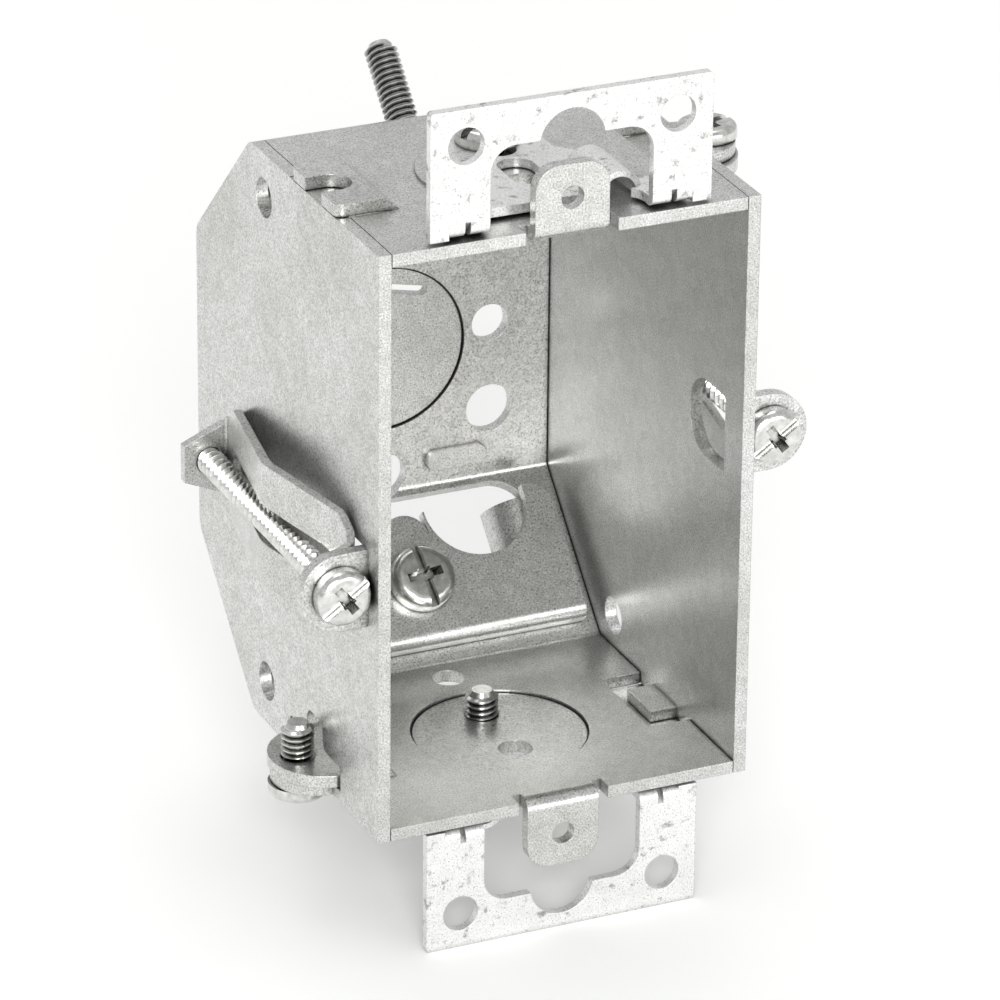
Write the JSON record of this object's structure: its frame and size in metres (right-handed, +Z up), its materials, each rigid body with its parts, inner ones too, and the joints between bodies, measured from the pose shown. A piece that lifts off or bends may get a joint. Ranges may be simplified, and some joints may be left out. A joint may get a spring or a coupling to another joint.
{
  "type": "drywall back box",
  "caption": "Gangable pressed-steel device box for a finished wall, with bevelled back corners, plaster ears, side wall clamps and inner cable clamps",
  "frame": {"origin": "centre of the front opening, in the plane of the front edges, midway between the two device tab holes", "axes": "+X right seen from the front, +Y back into the wall, +Z up as mounted"},
  "size_m": [0.0662, 0.0584, 0.109],
  "materials": {
    "galvanized_sheet": "hot-dip galvanized sheet, pressed, fine dull grain",
    "zinc_plated_screw": "bright zinc-plated steel screws"
  },
  "bodies": {
    "root": {"box_body": "galvanized_sheet"},
    "side_left": {"side_plate_left": "galvanized_sheet", "side_clamp_left": "galvanized_sheet"},
    "side_right": {"side_plate_right": "galvanized_sheet", "side_clamp_right": "galvanized_sheet"},
    "side_screw_left": {"side_clamp_screw_left": "zinc_plated_screw"},
    "side_screw_right": {"side_clamp_screw_right": "zinc_plated_screw"},
    "gang_screw_lower": {"gang_screw_lower": "zinc_plated_screw"},
    "gang_screw_upper": {"gang_screw_upper": "zinc_plated_screw"},
    "ear_top": {"plaster_ear_top": "galvanized_sheet"},
    "ear_bottom": {"plaster_ear_bottom": "galvanized_sheet"},
    "ear_screw_top": {"ear_screw_top": "zinc_plated_screw"},
    "ear_screw_bottom": {"ear_screw_bottom": "zinc_plated_screw"},
    "cable_clamp_lower": {"cable_clamp_lower": "galvanized_sheet"},
    "cable_clamp_upper": {"cable_clamp_upper": "galvanized_sheet"},
    "cable_screw_lower": {"cable_clamp_screw_lower": "zinc_plated_screw"},
    "cable_screw_upper": {"cable_clamp_screw_upper": "zinc_plated_screw"}
  },
  "joints": [
    {"name": "side_plate_left_off", "type": "slide", "parent": "root", "child": "side_left", "axis": [-1, 0, 0], "range_m": [0, 0.012]},
    {"name": "side_plate_right_off", "type": "slide", "parent": "root", "child": "side_right", "axis": [1, 0, 0], "range_m": [0, 0.012]},
    {"name": "side_clamp_screw_left_turn", "type": "hinge", "parent": "side_left", "child": "side_screw_left", "pos_m": [-0.0281, 0.0031, -0.0055], "axis": [0, 1, 0], "continuous": true},
    {"name": "side_clamp_screw_right_turn", "type": "hinge", "parent": "side_right", "child": "side_screw_right", "pos_m": [0.0281, 0.0031, 0.0055], "axis": [0, 1, 0], "continuous": true},
    {"name": "gang_screw_lower_turn", "type": "hinge", "parent": "root", "child": "gang_screw_lower", "pos_m": [-0.02678, 0.0196, -0.0381], "axis": [0, 0, 1], "continuous": true},
    {"name": "gang_screw_upper_turn", "type": "hinge", "parent": "root", "child": "gang_screw_upper", "pos_m": [0.02678, 0.0196, 0.0381], "axis": [0, 0, 1], "continuous": true},
    {"name": "plaster_ear_top_slide", "type": "slide", "parent": "root", "child": "ear_top", "axis": [0, -1, 0], "range_m": [-0.003, 0.003]},
    {"name": "plaster_ear_bottom_slide", "type": "slide", "parent": "root", "child": "ear_bottom", "axis": [0, -1, 0], "range_m": [-0.003, 0.003]},
    {"name": "ear_screw_top_turn", "type": "hinge", "parent": "root", "child": "ear_screw_top", "pos_m": [0, 0.0245, 0.0381], "axis": [0, 0, 1], "continuous": true},
    {"name": "ear_screw_bottom_turn", "type": "hinge", "parent": "root", "child": "ear_screw_bottom", "pos_m": [0, 0.0245, -0.0381], "axis": [0, 0, 1], "continuous": true},
    {"name": "cable_clamp_lower_lift", "type": "slide", "parent": "root", "child": "cable_clamp_lower", "axis": [0, -0.7071, 0.7071], "range_m": [0, 0.0048]},
    {"name": "cable_clamp_upper_lift", "type": "slide", "parent": "root", "child": "cable_clamp_upper", "axis": [0, -0.7071, -0.7071], "range_m": [0, 0.0048]},
    {"name": "cable_screw_lower_turn", "type": "hinge", "parent": "cable_clamp_lower", "child": "cable_screw_lower", "pos_m": [0, 0.04395, -0.02714], "axis": [0, -0.7071, 0.7071], "range_deg": [0, 2177]},
    {"name": "cable_screw_upper_turn", "type": "hinge", "parent": "cable_clamp_upper", "child": "cable_screw_upper", "pos_m": [0, 0.04395, 0.02714], "axis": [0, -0.7071, -0.7071], "range_deg": [0, 2177]}
  ],
  "couplings": [
    {"joint": "cable_screw_lower_turn", "follows": "cable_clamp_lower_lift", "rad_per_m": 7913.3},
    {"joint": "cable_screw_upper_turn", "follows": "cable_clamp_upper_lift", "rad_per_m": 7913.3}
  ]
}
